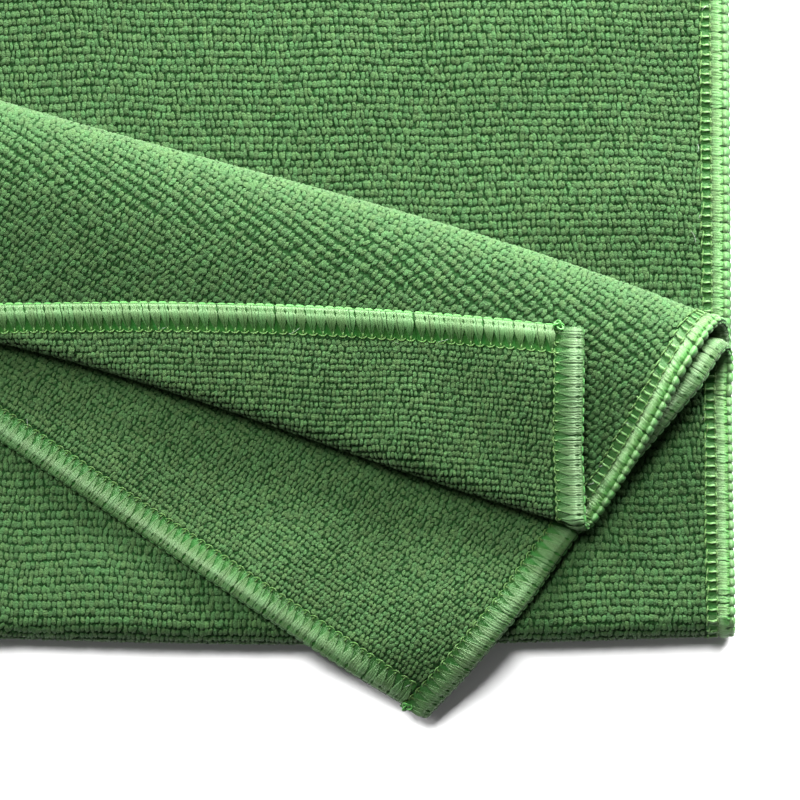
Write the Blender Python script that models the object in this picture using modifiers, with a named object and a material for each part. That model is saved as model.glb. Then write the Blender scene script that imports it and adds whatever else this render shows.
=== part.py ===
"""A square microfibre cleaning cloth, folded in quarters, with the corner of its two upper layers
turned down over a soft ridge and the corner of the outer one of these turned back up.

The flat cloth has p across and q along, from -HALF_SIDE to HALF_SIDE. The first fold lies along
p = 0 and the second along q = 0, which stacks four quarters:

    level 0   p > 0, q < 0   at the bottom
    level 1   p < 0, q < 0
    level 2   p < 0, q > 0
    level 3   p > 0, q > 0   on top

The ridge folds levels 3 and 2 back over themselves, to levels 4 and 5, and the last fold lays the
corner of level 5 back up as level 6. While it is folded, the cloth lies in a frame with x to the
right and y to the back, whose zero is the corner where the first two folds cross.
"""

from math import cos, pi, radians, sin
from types import SimpleNamespace

import bmesh
import bpy
import numpy as np

MM = 0.001

# The sheet
HALF_SIDE = 200 * MM
THICKNESS = 1.7 * MM
PITCH = 2.3 * MM  # from the middle of one layer to the middle of the next
LAYERS = 4  # in the stack of quarters
GRID_CELLS = 36  # along each side, before the folds are scored

# The two quarter folds
FIRST_AT = 2.2 * MM  # along p
FIRST_ARC, FIRST_REACH = 1.6 * MM, 1.7 * MM
FIRST_OPEN = 0.8 * MM  # the two layers part by this much more at the fold
SECOND_AT = 4.1 * MM  # along q
SECOND_OPEN = 1.6 * MM
SECOND_BOW, BOW_FADE = 2.2 * MM, 60 * MM  # its middle bows out this far, fading this far in
QUARTER_SETTLE = 26 * MM  # the layers lie flat this far in from a fold
LEAN_BELOW = -0.0064  # sideways drift of the right-hand edge for each metre of y
LEAN_ABOVE = -0.0147

# The ridge, along a line that falls to the right
RIDGE_MIDDLE = (109.6 * MM, 97.4 * MM)
RIDGE_SLOPE = radians(17.1)
RIDGE_OFFSET = -16.1 * MM
RIDGE_BOW = -0.043  # per metre
RIDGE_SETTLE = 46 * MM
INNER_ARC, INNER_REACH, INNER_RISE = 7.9 * MM, 11.1 * MM, 4.2 * MM
OUTER_ARC, OUTER_RISE = 12.6 * MM, 7.0 * MM
CLOSE_AT_FIRST = 0.9  # at the first fold the outer layer stands off the inner by this share
ARC_AT_FIRST = 9.6 * MM  # and there both layers go round together
OUTER_REACH = (
    # along the ridge, reach of the outer layer
    (-95 * MM, 15.4 * MM),
    (-55 * MM, 16.5 * MM),
    (-5 * MM, 17.3 * MM),
    (42 * MM, 18.3 * MM),
    (65 * MM, 17.9 * MM),
    (83 * MM, 16.2 * MM),
)
INNER_DRIFT, OUTER_DRIFT = 0.132, 0.024  # sideways slip for each metre down from the ridge
DRIFT_FROM_FIRST = 75 * MM  # the inner layer slips fully only this far along p
INNER_SWAY, OUTER_SWAY, SWAY_LENGTH = -1.4 * MM, 1.8 * MM, 62 * MM  # bow of the slanting edges
FLAP_SPREAD = 1.0  # widening for each metre along the ridge and metre down from it

# The corner that is turned back up
CORNER_SLOPE = radians(18.1)
CORNER_OFFSET = -53.09 * MM
CORNER_BOW = -0.265  # per metre
CORNER_ARC = 2.4 * MM
CORNER_RISE = 2.1 * MM
CORNER_SETTLE = 25 * MM
CORNER_DRIFT = 0.024
CORNER_REACH = (
    # along the fold, reach
    (-76 * MM, 2.2 * MM),
    (-35 * MM, 2.0 * MM),
    (-12 * MM, 1.8 * MM),
    (14 * MM, 3.0 * MM),
    (45 * MM, 2.4 * MM),
    (66 * MM, 1.6 * MM),
)
CORNER_END, CORNER_FADE, CORNER_DROP = -20 * MM, 45 * MM, 8 * MM  # it sinks towards the first fold

# Where the flap hangs over the stack
FRONT_EDGE, FRONT_BEND, FRONT_STEEP = -4.5 * MM, 12 * MM, 0.42
LEFT_EDGE, LEFT_BEND, LEFT_STEEP = -2.0 * MM, 15 * MM, 0.25

# Soft swells: centre, direction, half length, half width, height, and the lowest level they lift
SWELLS = (
    # x,   y,   turn, long, wide, high, level
    (119, 46, 88, 12, 4.5, 1.9, 6),
    (146, 54, 92, 12, 6.0, 2.1, 6),
    (97, 60, 84, 9, 9.0, 1.2, 6),
    (66, 66, 75, 7, 12.0, 0.8, 6),
    (158, 52, 90, 20, 5.0, 1.6, 6),
    (192, 29, 92, 22, 4.5, 2.0, 3),
    (172, 26, 50, 17, 7.0, 1.5, 3),
    (60, 8, 10, 24, 9.0, 0.9, 3),
    (134, 2, 20, 16, 8.0, 1.4, 4),
    (92, 14, 55, 12, 7.0, 1.1, 4),
    (50, 38, 60, 10, 8.0, 1.0, 4),
    (100, 124, 66, 16, 6.0, 0.9, 1),
    (170, 99, 5, 26, 8.0, 0.9, 1),
    (150, 142, 12, 26, 9.0, 0.8, 1),
    (40, 166, 30, 34, 14.0, 0.9, 1),
)

CENTRE = (79.49 * MM, 89.45 * MM)  # the middle of the folded cloth, which becomes the origin
REST_HEIGHT = THICKNESS / 2

SCORES = (("first", 6), ("second", 8), ("ridge", 10), ("corner", 6))  # fold, facets round it
SNAP = 0.08  # a cut this near an edge's end, as a share of the edge, goes through the end


def ease(t):
    """From 0 to 1, level at both ends."""
    t = np.clip(t, 0, 1)
    return t * t * (3 - 2 * t)


def table(rows, at):
    """A smooth reading of a two-column table."""
    place, value = np.array(rows).T
    share = np.clip((at - place[0]) / (place[-1] - place[0]), 0, 1)
    curve = np.polynomial.Polynomial.fit(
        (place - place[0]) / (place[-1] - place[0]), value, 3, domain=(0, 1), window=(0, 1)
    )
    return curve(share)


def turned(past, arc, reach):
    """A sheet that runs past a fold's line and turns back: its distance from the line, its turn
    and how far it has come back. The fold takes up a length of pi * arc."""
    turn = np.clip(past / arc, 0, pi)
    back = np.maximum(past - pi * arc, 0)
    return np.minimum(past, 0) + reach * np.sin(turn) - back, turn, back


def droop(over, bend, steep):
    """Fall, and lost reach, of cloth that hangs this far over an edge and ends at this slope."""
    over = np.maximum(over, 0)
    curved = np.minimum(over, bend)
    fall = steep * curved**2 / (2 * bend) + steep * (over - curved)
    lost = steep**2 * (curved**3 / (3 * bend**2) + over - curved) / 2
    return fall, lost


def swell(x, y, level):
    """Height that the soft swells add."""
    lift = np.zeros_like(x)
    for cx, cy, direction, long, wide, high, lowest in SWELLS:
        dx, dy = x / MM - cx, y / MM - cy
        c, s = cos(radians(direction)), sin(radians(direction))
        along, across = (dx * c + dy * s) / long, (dy * c - dx * s) / wide
        lift += high * MM * np.exp(-(along**2 + across**2) / 2) * ease(level - lowest + 1)
    return lift


def turned_axes(x, y, slope):
    """Distances along and beyond a line through the ridge's middle that falls to the right."""
    dx, dy = x - RIDGE_MIDDLE[0], y - RIDGE_MIDDLE[1]
    return dx * cos(slope) - dy * sin(slope), dx * sin(slope) + dy * cos(slope)


def level_axes(along, beyond, slope):
    """The way back from turned_axes."""
    x = RIDGE_MIDDLE[0] + along * cos(slope) + beyond * sin(slope)
    return x, RIDGE_MIDDLE[1] - along * sin(slope) + beyond * cos(slope)


def fold_in_quarters(at):
    """Lays p < 0 over p > 0, then q > 0 over q < 0."""
    out, first, back = turned(FIRST_AT - at.p, FIRST_ARC, FIRST_REACH)
    x = -out
    at.under = (1 - np.cos(first)) / 2  # 0 on the half that stays down, 1 on the half laid over it
    height = (PITCH + FIRST_OPEN * (1 - ease(back / QUARTER_SETTLE))) * at.under
    at.near_first = 1 - ease(x / QUARTER_SETTLE)

    middle = (LAYERS - 1) / 2 * PITCH + FIRST_OPEN * at.near_first + SECOND_OPEN / 2
    steps = (LAYERS - 1) / 2 - at.under + (at.under - 1 / 2) * at.near_first
    arc = steps * PITCH + SECOND_OPEN / 2
    past = at.q - SECOND_AT
    out, second, back = turned(past, arc, middle - height)
    bow = SECOND_BOW * np.sin(pi * np.clip(x / HALF_SIDE, 0, 1)) * (1 - ease(-out / BOW_FADE))
    at.y = -out - bow
    at.z = middle - (middle - height) * np.cos(second) - SECOND_OPEN * ease(back / QUARTER_SETTLE)
    at.x = x + np.where(second > 0, LEAN_ABOVE, LEAN_BELOW) * at.y * ease(x / HALF_SIDE)
    at.level = at.under + (LAYERS - 1 - 2 * at.under) * second / pi
    at.above = second >= pi
    at.gone_round["first"] = (FIRST_AT - at.p) / FIRST_ARC
    at.gone_round["second"] = past / arc


def turn_down_ridge(at):
    """Lays the far corner of the two upper layers back over them."""
    along, beyond = turned_axes(at.x, at.y, RIDGE_SLOPE)
    at.ridge_line = RIDGE_OFFSET + RIDGE_BOW * along**2
    outer = at.under * (1 - (1 - CLOSE_AT_FIRST) * at.near_first)
    arc = INNER_ARC + (OUTER_ARC - INNER_ARC) * at.under
    arc = arc + (ARC_AT_FIRST - arc) * at.near_first
    reach = INNER_REACH + (table(OUTER_REACH, along) - INNER_REACH) * outer
    rise = INNER_RISE + (OUTER_RISE - INNER_RISE) * outer
    past = np.where(at.above, beyond - at.ridge_line, -HALF_SIDE)
    out, at.ridge, at.down = turned(past, arc, reach)
    beyond = np.where(past > 0, at.ridge_line + out, beyond)

    # The ridge stands spare over the height that the flap settles to
    to_flap = 2 * LAYERS - 1 - 2 * at.level
    at.spare = 2 * rise - to_flap * PITCH
    at.z = at.z + rise * (1 - np.cos(at.ridge)) - at.spare * ease(at.down / RIDGE_SETTLE)
    at.z = at.z - 2 * FIRST_OPEN * at.near_first * (1 - at.under) * at.ridge / pi
    at.level = at.level + to_flap * at.ridge / pi

    slip = OUTER_DRIFT + (INNER_DRIFT - OUTER_DRIFT) * ease(at.p / DRIFT_FROM_FIRST)
    sway = INNER_SWAY + (OUTER_SWAY - INNER_SWAY) * at.under
    sway = sway * ease(np.abs(at.p) / HALF_SIDE) * np.sin(pi * np.minimum(at.down / SWAY_LENGTH, 1))
    along = along + at.down * (FLAP_SPREAD * along - slip) + sway
    at.x, at.y = level_axes(along, beyond, RIDGE_SLOPE)
    at.gone_round["ridge"] = past / arc


def turn_up_corner(at):
    """Lays the corner of the outer layer back up on itself."""
    side, over = turned_axes(at.x, at.y, CORNER_SLOPE)
    line = CORNER_OFFSET + CORNER_BOW * side**2
    line = line - CORNER_DROP * ease((at.p - CORNER_END + CORNER_FADE) / CORNER_FADE)
    past = np.where((at.ridge >= pi) & (at.p < 0), line - over, -HALF_SIDE)
    out, corner, up = turned(past, CORNER_ARC, table(CORNER_REACH, side))
    over = np.where(past > 0, line - out, over)
    at.x, at.y = level_axes(side - CORNER_DRIFT * up, over, CORNER_SLOPE)

    # It climbs with the flap under it towards the ridge
    _, beyond = turned_axes(at.x, at.y, RIDGE_SLOPE)
    down_now = np.maximum(at.ridge_line - beyond, 0)
    climb = at.spare * (ease(at.down / RIDGE_SETTLE) - ease(down_now / RIDGE_SETTLE))
    at.z = at.z + np.where(past > 0, climb, 0) + CORNER_RISE * (1 - np.cos(corner))
    at.z = at.z - (2 * CORNER_RISE - PITCH) * ease(up / CORNER_SETTLE)
    at.level = at.level + corner / pi
    at.gone_round["corner"] = past / CORNER_ARC


def lay_down(at):
    """Adds the swells, the open folds below the flap, and its fall over the stack's edges."""
    loose = at.ridge / pi
    at.z = at.z + swell(at.x, at.y, at.level)
    at.z = at.z + SECOND_OPEN * (1 - ease(at.y / QUARTER_SETTLE)) * loose
    at.z = at.z + 2 * FIRST_OPEN * (1 - ease(at.x / QUARTER_SETTLE)) * loose
    fall, lost = droop(FRONT_EDGE - at.y, FRONT_BEND, FRONT_STEEP)
    at.z, at.y = at.z - fall * loose, at.y + lost * loose
    fall, lost = droop(LEFT_EDGE - at.x, LEFT_BEND, LEFT_STEEP)
    at.z, at.x = at.z - fall * loose, at.x + lost * loose


def fold(p, q):
    """Places points of the flat cloth: x, y and z of the middle of the sheet, and how far round
    each fold a point has gone, which is below 0 before the fold and past pi beyond it."""
    at = SimpleNamespace(p=p, q=q, gone_round={})
    fold_in_quarters(at)
    turn_down_ridge(at)
    turn_up_corner(at)
    lay_down(at)
    place = np.stack((at.x - CENTRE[0], at.y - CENTRE[1], at.z + REST_HEIGHT), axis=-1)
    return place, at.gone_round


def flat_points(sheet):
    """The p and q of each point of a sheet that is still flat."""
    points = np.array([point.co for point in sheet.verts])
    return points[:, 0], points[:, 1]


def score(sheet, name, turn):
    """Cuts the flat sheet's faces along the line where this fold has turned so far."""
    sheet.verts.index_update()
    gone = fold(*flat_points(sheet))[1][name] - turn
    on_line = set()
    for edge in list(sheet.edges):
        start, end = edge.verts
        near, far = gone[start.index], gone[end.index]
        if near * far >= 0:
            continue
        share = near / (near - far)
        if share < SNAP:
            on_line.add(start)
        elif share > 1 - SNAP:
            on_line.add(end)
        else:
            on_line.add(bmesh.utils.edge_split(edge, start, share)[1])
    for face in list(sheet.faces):
        ends = [point for point in face.verts if point in on_line]
        if len(ends) == 2 and not any(ends[1] in edge.verts for edge in ends[0].link_edges):
            bmesh.utils.face_split(face, *ends)


def fabric_material():
    """Green terry microfibre."""
    material = bpy.data.materials.new("green_microfibre")
    material.use_nodes = True
    shader = material.node_tree.nodes["Principled BSDF"]
    shader.inputs["Base Color"].default_value = (0.09, 0.26, 0.07, 1)
    shader.inputs["Roughness"].default_value = 0.9
    shader.inputs["Metallic"].default_value = 0
    return material


def make_cloth():
    """One panel with its overlocked edge, folded as it lies and given its thickness."""
    sheet = bmesh.new()
    bmesh.ops.create_grid(sheet, x_segments=GRID_CELLS, y_segments=GRID_CELLS, size=HALF_SIDE)
    for name, facets in SCORES:
        for step in range(facets + 1):
            score(sheet, name, pi * step / facets)
    places, _ = fold(*flat_points(sheet))
    for point, place in zip(sheet.verts, places):
        point.co = place
    mesh = bpy.data.meshes.new("cloth")
    sheet.to_mesh(mesh)
    sheet.free()
    mesh.shade_smooth()
    mesh.materials.append(fabric_material())
    cloth = bpy.data.objects.new("cloth", mesh)
    cloth.modifiers.new("even_faces", "TRIANGULATE")
    thick = cloth.modifiers.new("thickness", "SOLIDIFY")
    thick.thickness = THICKNESS
    thick.offset = 0
    return cloth


def main():
    for old in list(bpy.data.objects):
        bpy.data.objects.remove(old, do_unlink=True)
    collection = bpy.data.collections.new("microfibre_cloth")
    bpy.context.scene.collection.children.link(collection)
    collection.objects.link(make_cloth())


main()
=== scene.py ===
"""The folded microfibre cloth: its knitted sheet, terry pile and overlocked edge.

Flat, the cloth has p across and q along, from -HALF_SIDE to HALF_SIDE. Its outer face looks down
where the cloth is not yet folded, and its inner face looks up. Every thread and loop is set out in
these flat sizes and then placed by fold(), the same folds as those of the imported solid:

    level 0   p > 0, q < 0   at the bottom
    level 1   p < 0, q < 0
    level 2   p < 0, q > 0
    level 3   p > 0, q > 0   on top

The ridge folds levels 3 and 2 back over themselves, to levels 4 and 5, and the last fold lays the
corner of level 5 back up as level 6.
"""

from math import cos, pi, radians, sin
from types import SimpleNamespace

import bpy
import numpy as np
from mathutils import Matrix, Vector
from mathutils.bvhtree import BVHTree


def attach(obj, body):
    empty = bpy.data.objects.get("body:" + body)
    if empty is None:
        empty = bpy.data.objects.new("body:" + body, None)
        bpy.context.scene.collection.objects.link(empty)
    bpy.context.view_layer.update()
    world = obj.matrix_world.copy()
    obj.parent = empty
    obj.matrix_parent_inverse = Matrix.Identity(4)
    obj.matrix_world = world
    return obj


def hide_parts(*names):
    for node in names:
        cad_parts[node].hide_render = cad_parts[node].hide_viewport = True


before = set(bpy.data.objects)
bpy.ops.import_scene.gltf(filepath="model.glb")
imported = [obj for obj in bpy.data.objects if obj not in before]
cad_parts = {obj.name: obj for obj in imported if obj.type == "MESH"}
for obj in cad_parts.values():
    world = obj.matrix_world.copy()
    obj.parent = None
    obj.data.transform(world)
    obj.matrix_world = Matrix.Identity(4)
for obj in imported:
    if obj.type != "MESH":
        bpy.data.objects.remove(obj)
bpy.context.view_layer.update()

MM = 0.001

# The sheet
HALF_SIDE = 200 * MM
THICKNESS = 1.7 * MM
PITCH = 2.3 * MM  # from the middle of one layer to the middle of the next
LAYERS = 4  # in the stack of quarters

# The two quarter folds
FIRST_AT = 2.2 * MM  # along p
FIRST_ARC, FIRST_REACH = 1.6 * MM, 1.7 * MM
FIRST_OPEN = 0.8 * MM  # the two layers part by this much more at the fold
SECOND_AT = 4.1 * MM  # along q
SECOND_OPEN = 1.6 * MM
SECOND_BOW, BOW_FADE = 2.2 * MM, 60 * MM  # its middle bows out this far, fading this far in
QUARTER_SETTLE = 26 * MM  # the layers lie flat this far in from a fold
LEAN_BELOW = -0.0064  # sideways drift of the right-hand edge for each metre of y
LEAN_ABOVE = -0.0147

# The ridge, along a line that falls to the right
RIDGE_MIDDLE = (109.6 * MM, 97.4 * MM)
RIDGE_SLOPE = radians(17.1)
RIDGE_OFFSET = -16.1 * MM
RIDGE_BOW = -0.043  # per metre
RIDGE_SETTLE = 46 * MM
INNER_ARC, INNER_REACH, INNER_RISE = 7.9 * MM, 11.1 * MM, 4.2 * MM
OUTER_ARC, OUTER_RISE = 12.6 * MM, 7.0 * MM
CLOSE_AT_FIRST = 0.9  # at the first fold the outer layer stands off the inner by this share
ARC_AT_FIRST = 9.6 * MM  # and there both layers go round together
OUTER_REACH = (
    # along the ridge, reach of the outer layer
    (-95 * MM, 15.4 * MM),
    (-55 * MM, 16.5 * MM),
    (-5 * MM, 17.3 * MM),
    (42 * MM, 18.3 * MM),
    (65 * MM, 17.9 * MM),
    (83 * MM, 16.2 * MM),
)
INNER_DRIFT, OUTER_DRIFT = 0.132, 0.024  # sideways slip for each metre down from the ridge
DRIFT_FROM_FIRST = 75 * MM  # the inner layer slips fully only this far along p
INNER_SWAY, OUTER_SWAY, SWAY_LENGTH = -1.4 * MM, 1.8 * MM, 62 * MM  # bow of the slanting edges
FLAP_SPREAD = 1.0  # widening for each metre along the ridge and metre down from it

# The corner that is turned back up
CORNER_SLOPE = radians(18.1)
CORNER_OFFSET = -53.09 * MM
CORNER_BOW = -0.265  # per metre
CORNER_ARC = 2.4 * MM
CORNER_RISE = 2.1 * MM
CORNER_SETTLE = 25 * MM
CORNER_DRIFT = 0.024
CORNER_REACH = (
    # along the fold, reach
    (-76 * MM, 2.2 * MM),
    (-35 * MM, 2.0 * MM),
    (-12 * MM, 1.8 * MM),
    (14 * MM, 3.0 * MM),
    (45 * MM, 2.4 * MM),
    (66 * MM, 1.6 * MM),
)
CORNER_END, CORNER_FADE, CORNER_DROP = -20 * MM, 45 * MM, 8 * MM  # it sinks towards the first fold

# Where the flap hangs over the stack
FRONT_EDGE, FRONT_BEND, FRONT_STEEP = -4.5 * MM, 12 * MM, 0.42
LEFT_EDGE, LEFT_BEND, LEFT_STEEP = -2.0 * MM, 15 * MM, 0.25

# Soft swells: centre, direction, half length, half width, height, and the lowest level they lift
SWELLS = (
    # x,   y,   turn, long, wide, high, level
    (119, 46, 88, 12, 4.5, 1.9, 6),
    (146, 54, 92, 12, 6.0, 2.1, 6),
    (97, 60, 84, 9, 9.0, 1.2, 6),
    (66, 66, 75, 7, 12.0, 0.8, 6),
    (158, 52, 90, 20, 5.0, 1.6, 6),
    (192, 29, 92, 22, 4.5, 2.0, 3),
    (172, 26, 50, 17, 7.0, 1.5, 3),
    (60, 8, 10, 24, 9.0, 0.9, 3),
    (134, 2, 20, 16, 8.0, 1.4, 4),
    (92, 14, 55, 12, 7.0, 1.1, 4),
    (50, 38, 60, 10, 8.0, 1.0, 4),
    (100, 124, 66, 16, 6.0, 0.9, 1),
    (170, 99, 5, 26, 8.0, 0.9, 1),
    (150, 142, 12, 26, 9.0, 0.8, 1),
    (40, 166, 30, 34, 14.0, 0.9, 1),
)

CENTRE = (79.49 * MM, 89.45 * MM)  # the middle of the folded cloth, which becomes the origin
REST_HEIGHT = THICKNESS / 2

EPSILON = 0.05 * MM  # step for the sheet's directions

# The knitted ground of the sheet
GROUND_HALF = 0.5 * MM
P_LINES = (
    # from, to and largest step, in mm
    (-200, -8, 3.6),
    (-8, 9, 0.55),
    (9, 200, 3.6),
)
Q_LINES = (
    (-200, -9, 3.4),
    (-9, 14, 0.7),
    (14, 200, 2.6),
)
OUTER, INNER = 1, -1  # the two faces

# What shows: spots this far apart look at the sky from this far over the sheet
SKY_CELL = 3 * MM
SKY_LIFT = 1.2 * MM
SKY_RAYS = 30
SKY_LOWEST = 0.03  # upward share of the lowest ray that counts as sky
SKY_FAR = 1.0  # a ray that meets nothing for this far sees the sky
FLOOR_GAP = 0.05 * MM  # the lowest that any thread lies

# The terry pile
LOOP_PITCH = {OUTER: 1.16 * MM, INNER: 1.00 * MM}  # along p
ROW_PITCH = {OUTER: 1.90 * MM, INNER: 1.46 * MM}  # along q
LOOP_SIDES = 5
LOOP_RINGS = (
    # height and girth, as shares, and how far the down there looks up
    (0.35, 1.10, 0.72),
    (0.84, 0.80, 0.94),
)
LOOP_WIDE, LOOP_LONG, LOOP_HIGH = 1.02, 1.10, 0.44 * MM  # width and length in pitches
LOOP_TURN = 0.20  # unevenness of its heading, in radians
LOOP_LEAN = 0.16  # unevenness of its tip's place, in mm
SIZE_SPREAD, STRETCH_SPREAD, HIGH_SPREAD = 0.10, 0.12, 0.13  # of its size, form and height
HIGH_LEAST, HIGH_MOST = 0.6, 1.35  # of any loop, as shares of LOOP_HIGH
LOOP_SHIFT, ROW_SHIFT = 0.12, 0.07  # unevenness along a row and across it, in pitches
ROW_WAVE = 0.12  # height of a row's waves, in pitches
WAVE_LENGTHS = (5 * MM, 9 * MM, 17 * MM)  # along p, over 2 pi
WAVE_SLANT = 3  # a wave is this many times as long along q
FRINGE, FRINGE_LIFT = 1.8 * MM, 0.4  # the outer face's last loops stand higher by this share
LOOP_ROOT = 0.15 * MM  # how deep a loop starts in the ground
PILE_FROM = {OUTER: 6.5 * MM, INNER: 6.9 * MM}  # from the edge
PILE_PIECE = 9000  # loops in one piece at most

# The overlocked edge
STITCH = 2.3 * MM
BAND = 6.7 * MM
SATIN_STRANDS, STRAND_POINTS = 4, 4  # strands to a stitch, points across each
STRAND_WIDE = 1.08  # as a share of the room it has
STRAND_HIGH = 0.07 * MM  # from a strand's sides to its crown
STRAND_SLIP, STRAND_LIFT, STRAND_TONE = 0.03, 0.05 * MM, 0.25  # unevenness from strand to strand
STITCH_SHIFT = 0.04  # unevenness of a stitch's place, in stitches
HIGH_SHIFT = 0.04  # unevenness of its height, as a share
THREAD_SIDES = 5
THREAD_END = 0.6  # girth of a thread's ends, as a share
TOOTH = (
    # on the inner face: from the edge in mm, width in stitches and height in mm
    (6.5, 0.10, 0.44),
    (5.4, 0.36, 0.80),
    (4.3, 0.64, 1.14),
    (3.2, 0.92, 1.40),
    (2.1, 1.06, 1.44),
    (1.5, 0.84, 1.24),
    (1.15, 0.74, 1.08),
    (0.65, 0.94, 1.00),
    (0.15, 1.00, 0.68),
    (-0.10, 0.94, -0.05),
)
SATIN = (
    # on the outer face, in the same columns
    (4.1, 0.84, 0.60),
    (3.6, 0.98, 0.90),
    (2.9, 1.08, 1.22),
    (2.2, 1.06, 1.32),
    (1.6, 0.80, 1.20),
    (1.1, 0.74, 0.92),
)
CORE_HALF = 0.54  # half width of the thread under the stitches, in stitches
CORE = (
    # distance in from the edge and height, in mm
    (6.8, 0.40),
    (6.2, 0.58),
    (3.6, 0.62),
    (2.4, 0.96),
    (1.5, 0.90),
    (0.8, 0.68),
    (0.2, 0.30),
    (-0.1, 0.0),
)
# Threads: points along the edge in stitches, in from it in mm and over the sheet's middle in mm
RUNG = ((0.0, 3.7, 0.60), (0.05, 4.5, 0.86), (-0.05, 5.5, 0.90), (0.0, 6.6, 0.70))
NEEDLE_DOT = ((-0.40, 4.2, 0.60), (-0.14, 4.05, 1.02), (0.14, 4.05, 1.02), (0.40, 4.2, 0.60))
PILE_DASH = ((-0.46, 6.55, 0.80), (-0.2, 6.45, 1.10), (0.15, 6.35, 1.12), (0.44, 6.25, 0.80))
NEEDLE_DASH = ((-0.42, 6.45, 0.72), (-0.15, 6.70, 0.92), (0.15, 6.60, 0.94), (0.40, 6.1, 0.72))
TOOTH_DOT = ((-0.05, 6.5, 0.50), (0.0, 6.25, 0.84), (0.03, 5.9, 0.90), (0.05, 5.5, 0.74))
BEAD = (
    (-0.47, 0.74, 0.66),
    (-0.30, 0.66, 0.78),
    (0.0, 0.62, 0.82),
    (0.30, 0.66, 0.78),
    (0.47, 0.74, 0.66),
)
RIM_BEAD = (
    (-0.45, 0.50, -0.06),
    (-0.26, 0.42, 0.0),
    (0.0, 0.38, 0.04),
    (0.26, 0.42, 0.0),
    (0.45, 0.50, -0.06),
)
RUNG_SHAKE = 0.18 * MM  # unevenness of the rungs' distance from the edge
RUNG_THICK, NEEDLE_THICK, BEAD_THICK = 0.66 * MM, 0.42 * MM, 1.60 * MM
RIM_THICK = 1.30 * MM  # of the beads at the rim of the inner face
FLATTENED = 0.46  # a bead's height to its width
SLANT = 0.10  # along the edge for each distance in from it
BAND_SPOTS = (0.5 * MM, BAND / 2, BAND)  # in from the edge: a stitch shows if one of these does
KNOT_RADIUS, KNOT_THICK, KNOT_STEPS = 1.2 * MM, 0.62 * MM, 40
KNOT_IN, KNOT_OUT = 5.6 * MM, 0.2 * MM  # in from the tip along p and along q
KNOT_HIGH = 1.1 * MM
MID_TONE = 0.5  # of threads that are all of one tone

# Loose filaments
HAIRS, HAIR_POINTS, HAIR_SIDES = 46, 7, 3
HAIR_RADIUS = 0.07 * MM
HAIR_TURN = 2.1  # from one side to the next, in radians
HAIR_SPREAD = 0.7 * MM  # unevenness of its start about the first row of loops
HAIR_LONG = (1.0, 3.2)  # shortest and longest, in mm
HAIR_CURL = 0.7  # unevenness of its turn from end to end, in radians
HAIR_ARCH = 0.25 * MM  # how far its middle stands up

# The scene
PHOTO_MIDDLE = (116.7 * MM - CENTRE[0], 52.3 * MM - CENTRE[1])  # below the camera
PHOTO_WIDTH = 194.2 * MM  # of the surface seen across the frame
PHOTO_LEVEL = 10 * MM  # height of the surface that the frame's width is taken at
CAMERA_HEIGHT, CAMERA_FAR = 1.8, 10.0
SENSOR = 36.0  # mm
FLOOR_SIZE = 3.0
LAMPS = (
    # name, turn and rise in degrees, distance and size in metres, power in watts
    ("top", 122, 64, 1.2, 0.42, 27.0),
    ("key", 60, 15, 0.56, 0.30, 35.5),
    ("side", 146, 22, 1.2, 0.35, 43.0),
)
SKY_STRENGTH = 0.14
SEED = 7

# Colours: place, red, green and blue, in linear light
# For the loops, place runs from root to tip: the dark root is painted shade between the loops
OUTER_TONES = ((0.0, 0.005, 0.023, 0.005), (0.35, 0.012, 0.039, 0.009), (1.0, 0.019, 0.050, 0.014))
INNER_TONES = ((0.0, 0.006, 0.025, 0.005), (0.35, 0.015, 0.045, 0.011), (1.0, 0.026, 0.060, 0.018))
# The knit pattern is the fabric's own; the dark green is painted shade for the gaps between the
# loops
GROUND_TONES = ((0.0, 0.004, 0.021, 0.004), (1.0, 0.007, 0.029, 0.006))
# Across the inner band: a painted highlight just in from the rim, then painted shade darkening
# towards the needle line
TOOTH_TONES = (
    (0.10, 0.026, 0.070, 0.018),
    (0.20, 0.032, 0.078, 0.023),
    (0.27, 0.052, 0.106, 0.040),
    (0.40, 0.038, 0.086, 0.028),
    (0.65, 0.021, 0.064, 0.014),
    (0.95, 0.012, 0.054, 0.007),
)
# Across the outer band: the saturated green towards the rim is painted shade and glow of thread lit
# through; paler inwards
SATIN_TONES = ((0.0, 0.030, 0.150, 0.017), (0.25, 0.034, 0.120, 0.021), (0.55, 0.050, 0.102, 0.036))
# The saturated green at the rim is painted shade and glow where the edge curves down; the rungs'
# yellow-green further in is the thread's own
EDGE_TONES = (
    (0.0, 0.020, 0.118, 0.014),
    (0.10, 0.042, 0.104, 0.030),
    (0.3, 0.040, 0.098, 0.027),
    (1.0, 0.034, 0.094, 0.017),
)
# A green thread, painted darker and more saturated as the shade in the slots between stitches and
# in the trench
CORE_TONES = ((0.0, 0.008, 0.070, 0.005), (0.3, 0.007, 0.048, 0.005), (0.8, 0.007, 0.060, 0.005))
NEEDLE_TONES = ((0.0, 0.032, 0.084, 0.012), (1.0, 0.028, 0.076, 0.010))
# The thread's green, painted in the saturated tone it takes in shade
KNOT_TONES = ((0.0, 0.012, 0.090, 0.008), (1.0, 0.012, 0.090, 0.008))
HAIR_TONES = ((0.0, 0.150, 0.170, 0.150), (1.0, 0.150, 0.170, 0.150))
FIBRE_TINT = (0.80, 1.0, 0.68, 1)  # of the sheen and the gloss
FIBRE_SHEEN_ROUGHNESS = 0.5
FLOOR_WHITE = (0.86, 0.86, 0.86, 1)
FILAMENTS = 12  # fine lines across one stitch
KNIT_P = {"Scale": 320.0, "Distortion": 0.4, "Detail": 1.0}  # columns of the knit, along p
KNIT_Q = {"Scale": 260.0, "Distortion": 0.6, "Detail": 1.0}  # its rows, along q


def ease(t):
    """From 0 to 1, level at both ends."""
    t = np.clip(t, 0, 1)
    return t * t * (3 - 2 * t)


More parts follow.
